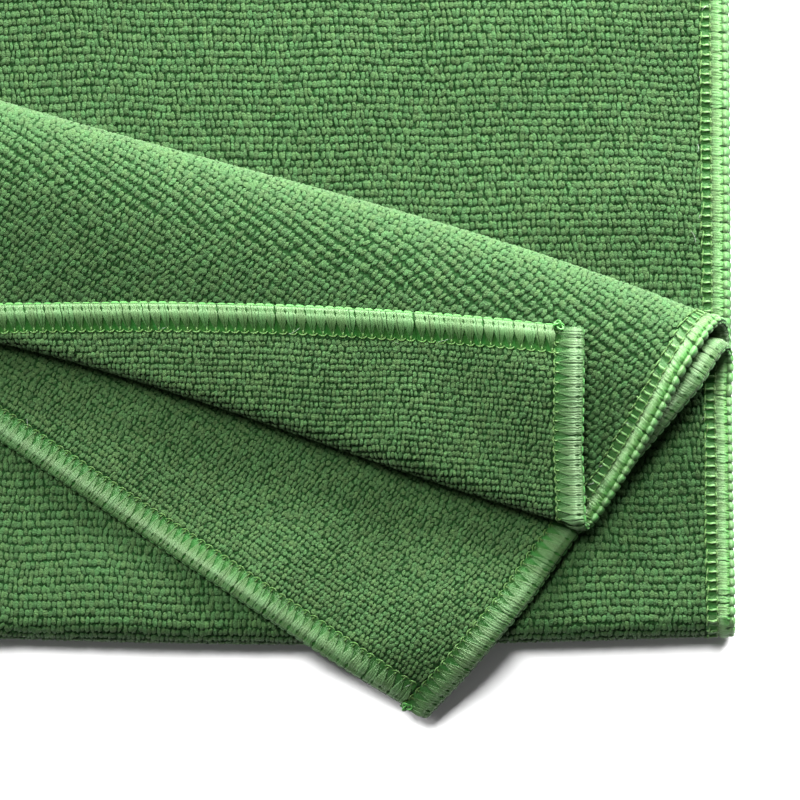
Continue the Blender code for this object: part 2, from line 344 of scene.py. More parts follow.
def table(rows, at):
    """Reads a two-column table along the cubic that fits its rows best."""
    place, value = np.array(rows).T
    share = np.clip((at - place[0]) / (place[-1] - place[0]), 0, 1)
    curve = np.polynomial.Polynomial.fit(
        (place - place[0]) / (place[-1] - place[0]), value, 3, domain=(0, 1), window=(0, 1)
    )
    return curve(share)


def turned(past, arc, reach):
    """A sheet that runs past a fold's line and turns back: its distance from the line, its turn
    and how far it has come back. The fold takes up a length of pi * arc."""
    turn = np.clip(past / arc, 0, pi)
    back = np.maximum(past - pi * arc, 0)
    return np.minimum(past, 0) + reach * np.sin(turn) - back, turn, back


def droop(over, bend, steep):
    """Fall, and lost reach, of cloth that hangs this far over an edge and ends at this slope."""
    over = np.maximum(over, 0)
    curved = np.minimum(over, bend)
    fall = steep * curved**2 / (2 * bend) + steep * (over - curved)
    lost = steep**2 * (curved**3 / (3 * bend**2) + over - curved) / 2
    return fall, lost


def swell(x, y, level):
    """Height that the soft swells add."""
    lift = np.zeros_like(x)
    for cx, cy, direction, long, wide, high, lowest in SWELLS:
        dx, dy = x / MM - cx, y / MM - cy
        c, s = cos(radians(direction)), sin(radians(direction))
        along, across = (dx * c + dy * s) / long, (dy * c - dx * s) / wide
        lift += high * MM * np.exp(-(along**2 + across**2) / 2) * ease(level - lowest + 1)
    return lift


def turned_axes(x, y, slope):
    """Distances along and beyond a line through the ridge's middle that falls to the right."""
    dx, dy = x - RIDGE_MIDDLE[0], y - RIDGE_MIDDLE[1]
    return dx * cos(slope) - dy * sin(slope), dx * sin(slope) + dy * cos(slope)


def level_axes(along, beyond, slope):
    """The way back from turned_axes."""
    x = RIDGE_MIDDLE[0] + along * cos(slope) + beyond * sin(slope)
    return x, RIDGE_MIDDLE[1] - along * sin(slope) + beyond * cos(slope)


def fold_in_quarters(at):
    """Lays p < 0 over p > 0, then q > 0 over q < 0."""
    out, first, back = turned(FIRST_AT - at.p, FIRST_ARC, FIRST_REACH)
    x = -out
    at.under = (1 - np.cos(first)) / 2  # 0 on the half that stays down, 1 on the half laid over it
    height = (PITCH + FIRST_OPEN * (1 - ease(back / QUARTER_SETTLE))) * at.under
    at.near_first = 1 - ease(x / QUARTER_SETTLE)

    middle = (LAYERS - 1) / 2 * PITCH + FIRST_OPEN * at.near_first + SECOND_OPEN / 2
    steps = (LAYERS - 1) / 2 - at.under + (at.under - 1 / 2) * at.near_first
    arc = steps * PITCH + SECOND_OPEN / 2
    past = at.q - SECOND_AT
    out, second, back = turned(past, arc, middle - height)
    bow = SECOND_BOW * np.sin(pi * np.clip(x / HALF_SIDE, 0, 1)) * (1 - ease(-out / BOW_FADE))
    at.y = -out - bow
    at.z = middle - (middle - height) * np.cos(second) - SECOND_OPEN * ease(back / QUARTER_SETTLE)
    at.x = x + np.where(second > 0, LEAN_ABOVE, LEAN_BELOW) * at.y * ease(x / HALF_SIDE)
    at.level = at.under + (LAYERS - 1 - 2 * at.under) * second / pi
    at.above = second >= pi


def turn_down_ridge(at):
    """Lays the far corner of the two upper layers back over them."""
    along, beyond = turned_axes(at.x, at.y, RIDGE_SLOPE)
    at.ridge_line = RIDGE_OFFSET + RIDGE_BOW * along**2
    outer = at.under * (1 - (1 - CLOSE_AT_FIRST) * at.near_first)
    arc = INNER_ARC + (OUTER_ARC - INNER_ARC) * at.under
    arc = arc + (ARC_AT_FIRST - arc) * at.near_first
    reach = INNER_REACH + (table(OUTER_REACH, along) - INNER_REACH) * outer
    rise = INNER_RISE + (OUTER_RISE - INNER_RISE) * outer
    past = np.where(at.above, beyond - at.ridge_line, -HALF_SIDE)
    out, at.ridge, at.down = turned(past, arc, reach)
    beyond = np.where(past > 0, at.ridge_line + out, beyond)

    # The ridge stands spare over the height that the flap settles to
    to_flap = 2 * LAYERS - 1 - 2 * at.level
    at.spare = 2 * rise - to_flap * PITCH
    at.z = at.z + rise * (1 - np.cos(at.ridge)) - at.spare * ease(at.down / RIDGE_SETTLE)
    at.z = at.z - 2 * FIRST_OPEN * at.near_first * (1 - at.under) * at.ridge / pi
    at.level = at.level + to_flap * at.ridge / pi

    slip = OUTER_DRIFT + (INNER_DRIFT - OUTER_DRIFT) * ease(at.p / DRIFT_FROM_FIRST)
    sway = INNER_SWAY + (OUTER_SWAY - INNER_SWAY) * at.under
    sway = sway * ease(np.abs(at.p) / HALF_SIDE) * np.sin(pi * np.minimum(at.down / SWAY_LENGTH, 1))
    along = along + at.down * (FLAP_SPREAD * along - slip) + sway
    at.x, at.y = level_axes(along, beyond, RIDGE_SLOPE)


def turn_up_corner(at):
    """Lays the corner of the outer layer back up on itself."""
    side, over = turned_axes(at.x, at.y, CORNER_SLOPE)
    line = CORNER_OFFSET + CORNER_BOW * side**2
    line = line - CORNER_DROP * ease((at.p - CORNER_END + CORNER_FADE) / CORNER_FADE)
    past = np.where((at.ridge >= pi) & (at.p < 0), line - over, -HALF_SIDE)
    out, corner, up = turned(past, CORNER_ARC, table(CORNER_REACH, side))
    over = np.where(past > 0, line - out, over)
    at.x, at.y = level_axes(side - CORNER_DRIFT * up, over, CORNER_SLOPE)

    # It climbs with the flap under it towards the ridge
    _, beyond = turned_axes(at.x, at.y, RIDGE_SLOPE)
    down_now = np.maximum(at.ridge_line - beyond, 0)
    climb = at.spare * (ease(at.down / RIDGE_SETTLE) - ease(down_now / RIDGE_SETTLE))
    at.z = at.z + np.where(past > 0, climb, 0) + CORNER_RISE * (1 - np.cos(corner))
    at.z = at.z - (2 * CORNER_RISE - PITCH) * ease(up / CORNER_SETTLE)
    at.level = at.level + corner / pi


def lay_down(at):
    """Adds the swells, the open folds below the flap, and its fall over the stack's edges."""
    loose = at.ridge / pi
    at.z = at.z + swell(at.x, at.y, at.level)
    at.z = at.z + SECOND_OPEN * (1 - ease(at.y / QUARTER_SETTLE)) * loose
    at.z = at.z + 2 * FIRST_OPEN * (1 - ease(at.x / QUARTER_SETTLE)) * loose
    fall, lost = droop(FRONT_EDGE - at.y, FRONT_BEND, FRONT_STEEP)
    at.z, at.y = at.z - fall * loose, at.y + lost * loose
    fall, lost = droop(LEFT_EDGE - at.x, LEFT_BEND, LEFT_STEEP)
    at.z, at.x = at.z - fall * loose, at.x + lost * loose


def fold(p, q):
    """Places points of the flat cloth: x, y and z of the middle of the sheet."""
    at = SimpleNamespace(p=p, q=q)
    fold_in_quarters(at)
    turn_down_ridge(at)
    turn_up_corner(at)
    lay_down(at)
    return np.stack((at.x - CENTRE[0], at.y - CENTRE[1], at.z + REST_HEIGHT), axis=-1)


def surface(p, q):
    """Points of the middle of the sheet, with its directions along p and q and the normal of its
    outer face, all of length 1."""
    along_p = fold(p + EPSILON, q) - fold(p - EPSILON, q)
    along_q = fold(p, q + EPSILON) - fold(p, q - EPSILON)
    normal = np.cross(along_p, along_q)
    return fold(p, q), unit(along_p), unit(along_q), unit(normal)


def unit(vectors):
    """Vectors of length 1 with the same directions."""
    return vectors / np.linalg.norm(vectors, axis=-1, keepdims=True)


def over_sheet(p, q, height):
    """Points this far over the middle of the sheet, below 0 on its inner face."""
    middle, _, _, normal = surface(p, q)
    points = middle + normal * np.asarray(height)[..., None]
    points[..., 2] = np.maximum(points[..., 2], FLOOR_GAP)
    return points


def piece_from(name, points, faces, material, downy=None, **attributes):
    """A piece made of faces that all have the same number of corners. Downy pieces are given the
    normal that each point shades with, and attributes hold up to three numbers for each point."""
    mesh = bpy.data.meshes.new(name)
    mesh.vertices.add(len(points))
    mesh.vertices.foreach_set("co", points.astype(np.float32).ravel())
    mesh.loops.add(faces.size)
    mesh.loops.foreach_set("vertex_index", faces.astype(np.int32).ravel())
    mesh.polygons.add(len(faces))
    starts = np.arange(0, faces.size, faces.shape[1], dtype=np.int32)
    mesh.polygons.foreach_set("loop_start", starts)
    mesh.update(calc_edges=True)
    for attribute, values in attributes.items():
        colours = np.ones((len(points), 4), np.float32)
        colours[:, :values.shape[1]] = values
        layer = mesh.attributes.new(attribute, "FLOAT_COLOR", "POINT")
        layer.data.foreach_set("color", colours.ravel())
    mesh.shade_smooth()
    if downy is not None:
        mesh.normals_split_custom_set_from_vertices(downy.tolist())
    mesh.materials.append(material)
    piece = bpy.data.objects.new(name, mesh)
    bpy.context.scene.collection.objects.link(piece)
    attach(piece, "root")
    return piece


def repeated(faces, count, points_each):
    """The faces of a template, once for each of its copies."""
    shifts = np.arange(count) * points_each
    return (faces[None] + shifts[:, None, None]).reshape(-1, faces.shape[1])


def tube_faces(rings, sides, closed=False):
    """Quads round a tube whose points run ring by ring."""
    index = np.arange(rings * sides).reshape(rings, sides)
    after, beside = np.roll(index, -1, 0), np.roll(index, -1, 1)
    faces = np.stack((index, after, np.roll(after, -1, 1), beside), axis=-1)
    return (faces if closed else faces[:-1]).reshape(-1, 4)


def round_thread(ahead):
    """The two directions square to a thread that runs this way: level, and up from it."""
    side = unit(np.cross(ahead, (0, 0, 1)))
    return side, np.cross(side, ahead)


# ---------------------------------------------------------------- the knitted ground


def spaced(stretches):
    """Places along the cloth, no further apart than each stretch's step."""
    places = [stretches[0][0]]
    for start, stop, step in stretches:
        count = int(np.ceil((stop - start) / step))
        places.extend(np.linspace(start, stop, count + 1)[1:])
    return np.array(places) * MM


def ground_mesh():
    """Points and faces of the knitted ground, one closed body, and where each point lies flat:
    p, q and its face."""
    lines_p, lines_q = spaced(P_LINES), spaced(Q_LINES)
    p, q = (grid.ravel() for grid in np.meshgrid(lines_p, lines_q, indexing="ij"))
    outer = over_sheet(p, q, np.full(p.shape, GROUND_HALF))
    inner = over_sheet(p, q, np.full(p.shape, -GROUND_HALF))
    index = np.arange(p.size).reshape(len(lines_p), len(lines_q))
    cells = np.stack((index[:-1, :-1], index[1:, :-1], index[1:, 1:], index[:-1, 1:]), axis=-1)
    cells = cells.reshape(-1, 4)
    rim = np.concatenate((index[:, 0], index[-1, 1:], index[-2::-1, -1], index[0, -2:0:-1]))
    after = np.roll(rim, -1)
    walls = np.stack((rim, rim + p.size, after + p.size, after), axis=-1)
    faces = np.concatenate((cells, cells[:, ::-1] + p.size, walls))
    points = np.concatenate((outer, inner))
    flat = np.concatenate([np.stack((p, q, np.full(p.shape, face)), 1) for face in (OUTER, INNER)])
    return points, faces, flat


# ---------------------------------------------------------------- what shows


def half_sphere(count):
    """Evenly spread directions round +Z, each turned on from the last by the golden angle."""
    index = np.arange(count)
    z = (index + 0.5) / count
    turn = index * pi * (3 - 5**0.5)
    across = np.sqrt(1 - z * z)
    return np.stack((across * np.cos(turn), across * np.sin(turn), z), axis=-1)


def sky_map(tree, face):
    """For a grid of spots on one face, whether any of the sky over the table shows there."""
    centres = np.arange(-HALF_SIDE + SKY_CELL / 2, HALF_SIDE, SKY_CELL)
    p, q = np.meshgrid(centres, centres, indexing="ij")
    middle, along_p, along_q, normal = surface(p, q)
    start = middle + normal * face * SKY_LIFT
    rays = half_sphere(SKY_RAYS)
    seen = np.zeros(p.shape, bool)
    for cell in np.ndindex(p.shape):
        axes = np.stack((along_p[cell], along_q[cell], normal[cell] * face))
        origin = Vector(start[cell])
        for ray in rays @ axes:
            if ray[2] > SKY_LOWEST and tree.ray_cast(origin, Vector(ray), SKY_FAR)[0] is None:
                seen[cell] = True
                break
    # Each spot also speaks for its neighbours
    spread = np.pad(seen, 1)
    width, depth = seen.shape
    return np.any([spread[i:i + width, j:j + depth] for i in range(3) for j in range(3)], axis=0)


def shows(sky, p, q):
    """Reads a sky map at flat places."""
    last = len(sky) - 1
    row = np.clip(((p + HALF_SIDE) / SKY_CELL).astype(int), 0, last)
    column = np.clip(((q + HALF_SIDE) / SKY_CELL).astype(int), 0, last)
    return sky[row, column]


# ---------------------------------------------------------------- the terry pile


def loop_template():
    """A plump loop on the unit square: its points, their normals and its faces."""
    turns = np.arange(LOOP_SIDES) * 2 * pi / LOOP_SIDES
    points, normals = [], []
    for ring, (height, girth, up) in enumerate(LOOP_RINGS):
        at = turns + (ring + 1) * pi / LOOP_SIDES
        x, y = np.cos(at), np.sin(at)
        out = (1 - up**2) ** 0.5
        points.extend(zip(girth * x / 2, girth * y / 2, np.full(LOOP_SIDES, height)))
        normals.extend(zip(out * x, out * y, np.full(LOOP_SIDES, up)))
    points.append((0, 0, 1))
    normals.append((0, 0, 1))
    faces = []
    tip = len(points) - 1
    for side in range(LOOP_SIDES):
        after = (side + 1) % LOOP_SIDES
        for ring in range(len(LOOP_RINGS) - 1):
            low, high = ring * LOOP_SIDES, (ring + 1) * LOOP_SIDES
            faces.append((low + side, low + after, high + side))
            faces.append((low + after, high + after, high + side))
        faces.append((high + side, high + after, tip))
    return np.array(points), np.array(normals), np.array(faces)


def loop_places(sky, face, rng):
    """Where the loops stand: rows along p, a little wavy and uneven."""
    reach = HALF_SIDE - PILE_FROM[face]
    rows = np.arange(-reach, reach, ROW_PITCH[face])
    stops = np.arange(-reach, reach, LOOP_PITCH[face])
    q, p = np.meshgrid(rows, stops, indexing="ij")
    shift = rng.uniform(0, 1, (len(rows), 1)) + rng.normal(0, LOOP_SHIFT, p.shape)
    p = p + shift * LOOP_PITCH[face]
    starts = rng.uniform(0, 2 * pi, len(WAVE_LENGTHS))
    wave = sum(
        np.sin(p / length + q / (WAVE_SLANT * length) + start)
        for length, start in zip(WAVE_LENGTHS, starts)
    )
    q = q + (wave * ROW_WAVE + rng.normal(0, ROW_SHIFT, q.shape)) * ROW_PITCH[face]
    inside = (np.abs(p) < reach) & (np.abs(q) < reach)
    keep = inside & shows(sky, p, q)
    return p[keep], q[keep]


def pile(face, sky, material, rng):
    """The loops of one face, in pieces. The attribute "loop" holds each point's share of the
    loop's height and the loop's two tones."""
    shape, shape_normals, shape_faces = loop_template()
    p, q = loop_places(sky, face, rng)
    count = len(p)
    middle, along_p, along_q, normal = surface(p, q)
    normal = normal * face
    along_q = np.cross(normal, along_p)
    turn = rng.normal(0, LOOP_TURN, count)
    wide = unit(along_p * np.cos(turn)[:, None] + along_q * np.sin(turn)[:, None])
    long = np.cross(normal, wide)
    size = rng.normal(1, SIZE_SPREAD, count)
    stretch = np.exp(rng.normal(0, STRETCH_SPREAD, count))
    width = LOOP_WIDE * LOOP_PITCH[face] * size * stretch
    length = LOOP_LONG * ROW_PITCH[face] * size / stretch
    height = LOOP_HIGH * rng.normal(1, HIGH_SPREAD, count).clip(HIGH_LEAST, HIGH_MOST)
    to_last = HALF_SIDE - PILE_FROM[face] - np.maximum(np.abs(p), np.abs(q))
    fringe = ease(1 - to_last / FRINGE)
    if face == OUTER:
        height = height * (1 + FRINGE_LIFT * fringe)
    lean = rng.normal(0, LOOP_LEAN, (count, 2)) * MM
    base = middle + normal * (GROUND_HALF - LOOP_ROOT)
    x, y, z = shape.T
    points = base[:, None] + normal[:, None] * (z * (height[:, None] + LOOP_ROOT))[..., None]
    points = points + wide[:, None] * (x * width[:, None] + lean[:, :1] * z**2)[..., None]
    points = points + long[:, None] * (y * length[:, None] + lean[:, 1:] * z**2)[..., None]
    points[..., 2] = np.maximum(points[..., 2], FLOOR_GAP)
    axes = np.stack((wide, long, normal), axis=1)
    normals = shape_normals @ axes
    # The last loops before the band are painted pale: a painted highlight where the pile's edge
    # catches the light
    tones = rng.uniform(0, 1, (count, 2))
    tones[:, 0] = np.maximum(tones[:, 0], fringe)
    loop = np.concatenate((
        np.broadcast_to(z[None, :, None], (count, len(z), 1)),
        np.broadcast_to(tones[:, None], (count, len(z), 2)),
    ), axis=-1)
    pieces = []
    name = "pile_outer" if face == OUTER else "pile_inner"
    parts = int(np.ceil(count / PILE_PIECE))
    for number, chosen in enumerate(np.array_split(np.arange(count), parts)):
        faces = repeated(shape_faces, len(chosen), len(shape))
        pieces.append(piece_from(
            f"{name}_{number + 1}", points[chosen].reshape(-1, 3), faces, material,
            downy=normals[chosen].reshape(-1, 3), loop=loop[chosen].reshape(-1, 3),
        ))
    return pieces


# ---------------------------------------------------------------- the overlocked edge


def around_edge(quarter, s, d):
    """Flat places at a distance s along one of the four edges and d in from it."""
    a, b = HALF_SIDE - d, s
    turns = ((a, b), (-b, a), (-a, -b), (b, -a))
    p = np.choose(quarter, [turn[0] for turn in turns])
    q = np.choose(quarter, [turn[1] for turn in turns])
    return p, q


def stitch_places(rng):
    """Every stitch round the cloth: its edge and how far along it lies. The bands along q run to
    the tips, and those along p end against them."""
    quarters, places = [], []
    for quarter in range(4):
        reach = HALF_SIDE - (0 if quarter % 2 == 0 else BAND)
        count = int(2 * reach / STITCH)
        quarters.append(np.full(count, quarter))
        places.append((np.arange(count) + 0.5 - count / 2) * 2 * reach / count)
    quarters, places = np.concatenate(quarters), np.concatenate(places)
    return quarters, places + rng.normal(0, STITCH_SHIFT, len(places)) * STITCH


def shown_stitches(stitches, sky, face):
    """Those whose band shows on one face."""
    quarters, places = stitches
    shown = np.zeros(len(places), bool)
    for d in BAND_SPOTS:
        shown |= shows(sky[face], *around_edge(quarters, places, np.full(places.shape, d)))
    return quarters[shown], places[shown]


def sewn(stitches, face, shape, shape_faces, rng, shake=0.0, strands=None):
    """Repeats a template round the edge. Its points are (t, d, h): along the edge in stitches, in
    from the edge and over the middle of the sheet in metres. Shake is how uneven its distance
    from the edge is. Strands gives the number of the strand that each point belongs to, and these
    lie unevenly. The attribute "strand" holds each point's place across the stitch and over the
    band, and its tone."""
    quarters, places = stitches
    count = len(places)
    t, d, h = shape.T
    tones = rng.uniform(0, 1, (count, 1, 1))
    d = d[None] + rng.normal(0, 1, (count, 1)) * shake
    s = places[:, None] + t[None] * STITCH + SLANT * d
    h = np.broadcast_to(h[None], s.shape) * rng.normal(1, HIGH_SHIFT, (count, 1))
    if strands is not None:
        slip, lift, tone = rng.normal(0, 1, (3, count, strands.max() + 1))[:, :, strands]
        s = s + slip * STRAND_SLIP * STITCH
        h = h + lift * STRAND_LIFT
        tones = (tones + STRAND_TONE * tone[..., None]).clip(0, 1)
    p, q = around_edge(np.broadcast_to(quarters[:, None], s.shape), s, d)
    points = over_sheet(p, q, h * face)
    faces = repeated(shape_faces if face == OUTER else shape_faces[:, ::-1], count, len(shape))
    strand = np.concatenate((
        np.broadcast_to(t[None, :, None] + 0.5, s.shape + (1,)),
        d[..., None] / BAND,
        np.broadcast_to(tones, s.shape + (1,)),
    ), axis=-1)
    return points.reshape(-1, 3), faces, strand.reshape(-1, 3)


def grid_faces(columns, rows):
    """Quads of a grid whose points run row by row, facing up where rows run along d."""
    index = np.arange(columns * rows).reshape(rows, columns)
    cells = (index[:-1, :-1], index[:-1, 1:], index[1:, 1:], index[1:, :-1])
    return np.stack(cells, axis=-1).reshape(-1, 4)


def satin_template(stations):
    """A flat bundle of strands that narrows to its needle hole and wraps the edge: its points,
    faces and the strand that each point belongs to. Each station is its distance in from the
    edge, width in stitches and height."""
    across = np.linspace(-0.5, 0.5, STRAND_POINTS)
    # Part of an ellipse, from -STRAND_HIGH at the sides to 0 at the crown
    arch = 2 * STRAND_HIGH * (np.sqrt(1 - 3 * across**2) - 1)
    points, strands = [], []
    for strand in range(SATIN_STRANDS):
        for d, width, height in np.array(stations) * (MM, 1, MM):
            t = width * ((strand + 0.5 + STRAND_WIDE * across) / SATIN_STRANDS - 0.5)
            points.append(np.stack((t, np.full(t.shape, d), height + arch), axis=-1))
            strands.extend([strand] * STRAND_POINTS)
    strip = grid_faces(STRAND_POINTS, len(stations))
    faces = repeated(strip, SATIN_STRANDS, len(stations) * STRAND_POINTS)
    return np.concatenate(points), faces, np.array(strands)


def core_template():
    """The strip of thread that lies under one stitch and round the edge: its points and faces."""
    across = (-CORE_HALF, 0.0, CORE_HALF)
    points = np.array([(t, d * MM, h * MM) for d, h in CORE for t in across])
    return points, grid_faces(len(across), len(CORE))


def thread_template(path, thick, flat=1.0):
    """A thread through points (t, d, h) of its middle, flattened to this share of its width."""
    real = np.array(path) * (STITCH, MM, MM)
    side, up = round_thread(unit(np.gradient(real, axis=0)))
    turns = np.arange(THREAD_SIDES)[None, :, None] * 2 * pi / THREAD_SIDES
    girth = np.ones((len(path), 1, 1))
    girth[[0, -1]] = THREAD_END
    out = side[:, None] * np.cos(turns) + flat * up[:, None] * np.sin(turns)
    rings = real[:, None] + thick / 2 * girth * out
    return rings.reshape(-1, 3) / (STITCH, 1, 1), tube_faces(len(path), THREAD_SIDES)


def joined(parts):
    """Several (points, faces, strand) as one."""
    shift = 0
    all_faces = []
    for points, faces, _ in parts:
        all_faces.append(faces + shift)
        shift += len(points)
    return (
        np.concatenate([part[0] for part in parts]),
        np.concatenate(all_faces),
        np.concatenate([part[2] for part in parts]),
    )


def knot(place, along_p, along_q, normal, turn):
    """Points, faces and strand of a small trefoil knot of thread. The trefoil's formula reaches 3
    from its middle."""
    at = np.arange(KNOT_STEPS) * 2 * pi / KNOT_STEPS
    x = np.sin(at) + 2 * np.sin(2 * at)
    y = np.cos(at) - 2 * np.cos(2 * at)
    z = -np.sin(3 * at)
    path = np.stack((x * cos(turn) - y * sin(turn), x * sin(turn) + y * cos(turn), z), 1)
    path = path * KNOT_RADIUS / 3
    side, up = round_thread(unit(np.roll(path, -1, 0) - np.roll(path, 1, 0)))
    rings = []
    for step in range(THREAD_SIDES):
        around = 2 * pi * step / THREAD_SIDES
        rings.append(path + KNOT_THICK / 2 * (side * cos(around) + up * sin(around)))
    points = np.stack(rings, axis=1).reshape(-1, 3) @ np.stack((along_p, along_q, normal)) + place
    faces = tube_faces(KNOT_STEPS, THREAD_SIDES, closed=True)
    return points, faces, np.full(points.shape, MID_TONE)


def overlock(sky, rng):
    """The overlock threads of both faces, the chain round the edge and the knots at the corners."""
    stitches = stitch_places(rng)
    shown = {face: shown_stitches(stitches, sky, face) for face in (OUTER, INNER)}
    satin_thread = thread_material("overlock_satin", SATIN_TONES)
    tooth_thread = thread_material("overlock_teeth", TOOTH_TONES)
    needle_thread = thread_material("needle_thread", NEEDLE_TONES)
    edge_thread = thread_material("edge_thread", EDGE_TONES)
    knot_thread_in_shade = thread_material("knot_thread", KNOT_TONES)
    core_thread = thread_material("core_thread", CORE_TONES)

    def threads(path, thick, face, shake=0.0, flat=1.0):
        return sewn(shown[face], face, *thread_template(path, thick, flat), rng, shake)

    def satin(stations, face):
        shape, shape_faces, strands = satin_template(stations)
        return sewn(shown[face], face, shape, shape_faces, rng, strands=strands)

    pieces = []
    for name, parts, material in (
        ("satin_outer", [satin(SATIN, OUTER)], satin_thread),
        ("satin_inner", [satin(TOOTH, INNER)], tooth_thread),
        ("rungs_outer", [threads(RUNG, RUNG_THICK, OUTER, RUNG_SHAKE)], edge_thread),
        ("needle_outer", [
            threads(NEEDLE_DOT, NEEDLE_THICK, OUTER),
            threads(PILE_DASH, NEEDLE_THICK, OUTER, RUNG_SHAKE),
        ], needle_thread),
        ("needle_inner", [
            threads(NEEDLE_DASH, NEEDLE_THICK, INNER),
            threads(TOOTH_DOT, NEEDLE_THICK, INNER),
        ], needle_thread),
        ("edge_chain", [
            threads(BEAD, BEAD_THICK, OUTER, flat=FLATTENED),
            threads(RIM_BEAD, BEAD_THICK, OUTER, flat=FLATTENED),
            threads(RIM_BEAD, RIM_THICK, INNER, flat=FLATTENED),
        ], edge_thread),
        ("edge_core", [
            sewn(shown[face], face, *core_template(), rng) for face in (OUTER, INNER)
        ], core_thread),
    ):
        points, faces, strand = joined(parts)
        pieces.append(piece_from(name, points, faces, material, strand=strand))

    knots = []
    for p_side, q_side in ((1, 1), (-1, 1), (-1, -1), (1, -1)):
        p, q = p_side * (HALF_SIDE - KNOT_IN), q_side * (HALF_SIDE - KNOT_OUT)
        place, along_p, along_q, normal = surface(np.array(p), np.array(q))
        for face in (OUTER, INNER):
            high = place + normal * KNOT_HIGH * face
            knots.append(knot(high, along_p, along_q, normal * face, rng.uniform(0, 2 * pi)))
    points, faces, strand = joined(knots)
    points[:, 2] = np.maximum(points[:, 2], FLOOR_GAP)
    pieces.append(piece_from("corner_knots", points, faces, knot_thread_in_shade, strand=strand))
    return pieces


def hairs(sky, material, rng):
    """A few loose filaments where the pile meets the band."""
    step = np.linspace(0, 1, HAIR_POINTS)
    faces = tube_faces(HAIR_POINTS, HAIR_SIDES)
    parts = []
    while len(parts) < HAIRS:
        quarter, s = rng.integers(4), rng.uniform(-1, 1) * (HALF_SIDE - BAND)
        d = rng.normal(PILE_FROM[OUTER], HAIR_SPREAD)
        face = rng.choice((OUTER, INNER))
        length, curl = rng.uniform(*HAIR_LONG) * MM, rng.normal(0, HAIR_CURL)
        turn = rng.uniform(-1, 1)
        if not shows(sky[face], *around_edge(quarter, np.array(s), np.array(d))):
            continue
        heading = (turn + curl * step)[:-1]
        along = np.concatenate(([0], np.cumsum(np.cos(heading))))
        inward = np.concatenate(([0], np.cumsum(np.sin(heading))))
        s_path = s + length * along / (HAIR_POINTS - 1)
        d_path = d + length * inward / (HAIR_POINTS - 1)
        p, q = around_edge(np.full(HAIR_POINTS, quarter), s_path, d_path)
        high = GROUND_HALF + LOOP_HIGH + HAIR_ARCH * np.sin(pi * step)
        rings = []
        for side in range(HAIR_SIDES):
            shift = HAIR_RADIUS * np.array((cos(side * HAIR_TURN), sin(side * HAIR_TURN)))
            rings.append(over_sheet(p + shift[0], q, (high + shift[1]) * face))
        points = np.stack(rings, axis=1).reshape(-1, 3)
        parts.append((points, faces, np.full(points.shape, MID_TONE)))
    points, faces, strand = joined(parts)
    return piece_from("loose_filaments", points, faces, material, strand=strand)


# ---------------------------------------------------------------- materials


def node(tree, kind, inputs=None, **settings):
    """Adds a node. An input's value is a socket to link or a constant."""
    made = tree.nodes.new(kind)
    for name, value in settings.items():
        setattr(made, name, value)
    for name, value in (inputs or {}).items():
        if isinstance(value, bpy.types.NodeSocket):
            tree.links.new(value, made.inputs[name])
        else:
            made.inputs[name].default_value = value
    return made


def new_material(name, roughness, sheen, specular):
    """A material, its node tree and its shader, with the constants of a soft fibre."""
    material = bpy.data.materials.new(name)
    material.use_nodes = True
    tree = material.node_tree
    shader = tree.nodes["Principled BSDF"]
    shader.inputs["Roughness"].default_value = roughness
    shader.inputs["Sheen Weight"].default_value = sheen
    shader.inputs["Sheen Roughness"].default_value = FIBRE_SHEEN_ROUGHNESS
    shader.inputs["Sheen Tint"].default_value = FIBRE_TINT
    shader.inputs["Specular Tint"].default_value = FIBRE_TINT
    shader.inputs["Specular IOR Level"].default_value = specular
    return material, tree, shader


def toned(tree, factor, stops):
    """A colour ramp through (place, red, green, blue) rows."""
    ramp = node(tree, "ShaderNodeValToRGB", {"Fac": factor})
    elements = ramp.color_ramp.elements
    while len(elements) < len(stops):
        elements.new(0.5)
    for element, (place, *colour) in zip(elements, stops):
        element.position = place
        element.color = (*colour, 1)
    return ramp.outputs["Color"]


def shaded(tree, colour, hue, value, hue_range, value_range):
    """Varies a colour by two factors from 0 to 1. A hue of 0.5 leaves it as it is."""
    hue_shift = node(tree, "ShaderNodeMapRange", {
        "Value": hue, "To Min": 0.5 - hue_range, "To Max": 0.5 + hue_range,
    })
    value_shift = node(tree, "ShaderNodeMapRange", {
        "Value": value, "To Min": 1 - value_range, "To Max": 1 + value_range,
    })
    varied = node(tree, "ShaderNodeHueSaturation", {
        "Color": colour, "Hue": hue_shift.outputs["Result"], "Value": value_shift.outputs["Result"],
    })
    return varied.outputs["Color"]


def bumped(tree, shader, height, distance):
    """Bumps a shader by a height, of which 1 stands for this distance."""
    bump = node(tree, "ShaderNodeBump", {"Height": height, "Distance": distance})
    tree.links.new(bump.outputs["Normal"], shader.inputs["Normal"])


def parts_of(tree, attribute):
    """The three numbers that an attribute holds."""
    read = node(tree, "ShaderNodeAttribute", attribute_name=attribute)
    split = node(tree, "ShaderNodeSeparateColor", {"Color": read.outputs["Color"]})
    return split.outputs["Red"], split.outputs["Green"], split.outputs["Blue"]


def fibre_noise(tree, scale, detail=2.0):
    """Noise that stays in place on the object."""
    place = node(tree, "ShaderNodeTexCoord")
    return node(tree, "ShaderNodeTexNoise", {
        "Vector": place.outputs["Object"], "Scale": scale, "Detail": detail, "Roughness": 0.6,
    }).outputs["Fac"]


def maths(tree, operation, *values):
    """The result of a sum on sockets or constants."""
    made = node(tree, "ShaderNodeMath", dict(enumerate(values)), operation=operation)
    return made.outputs["Value"]


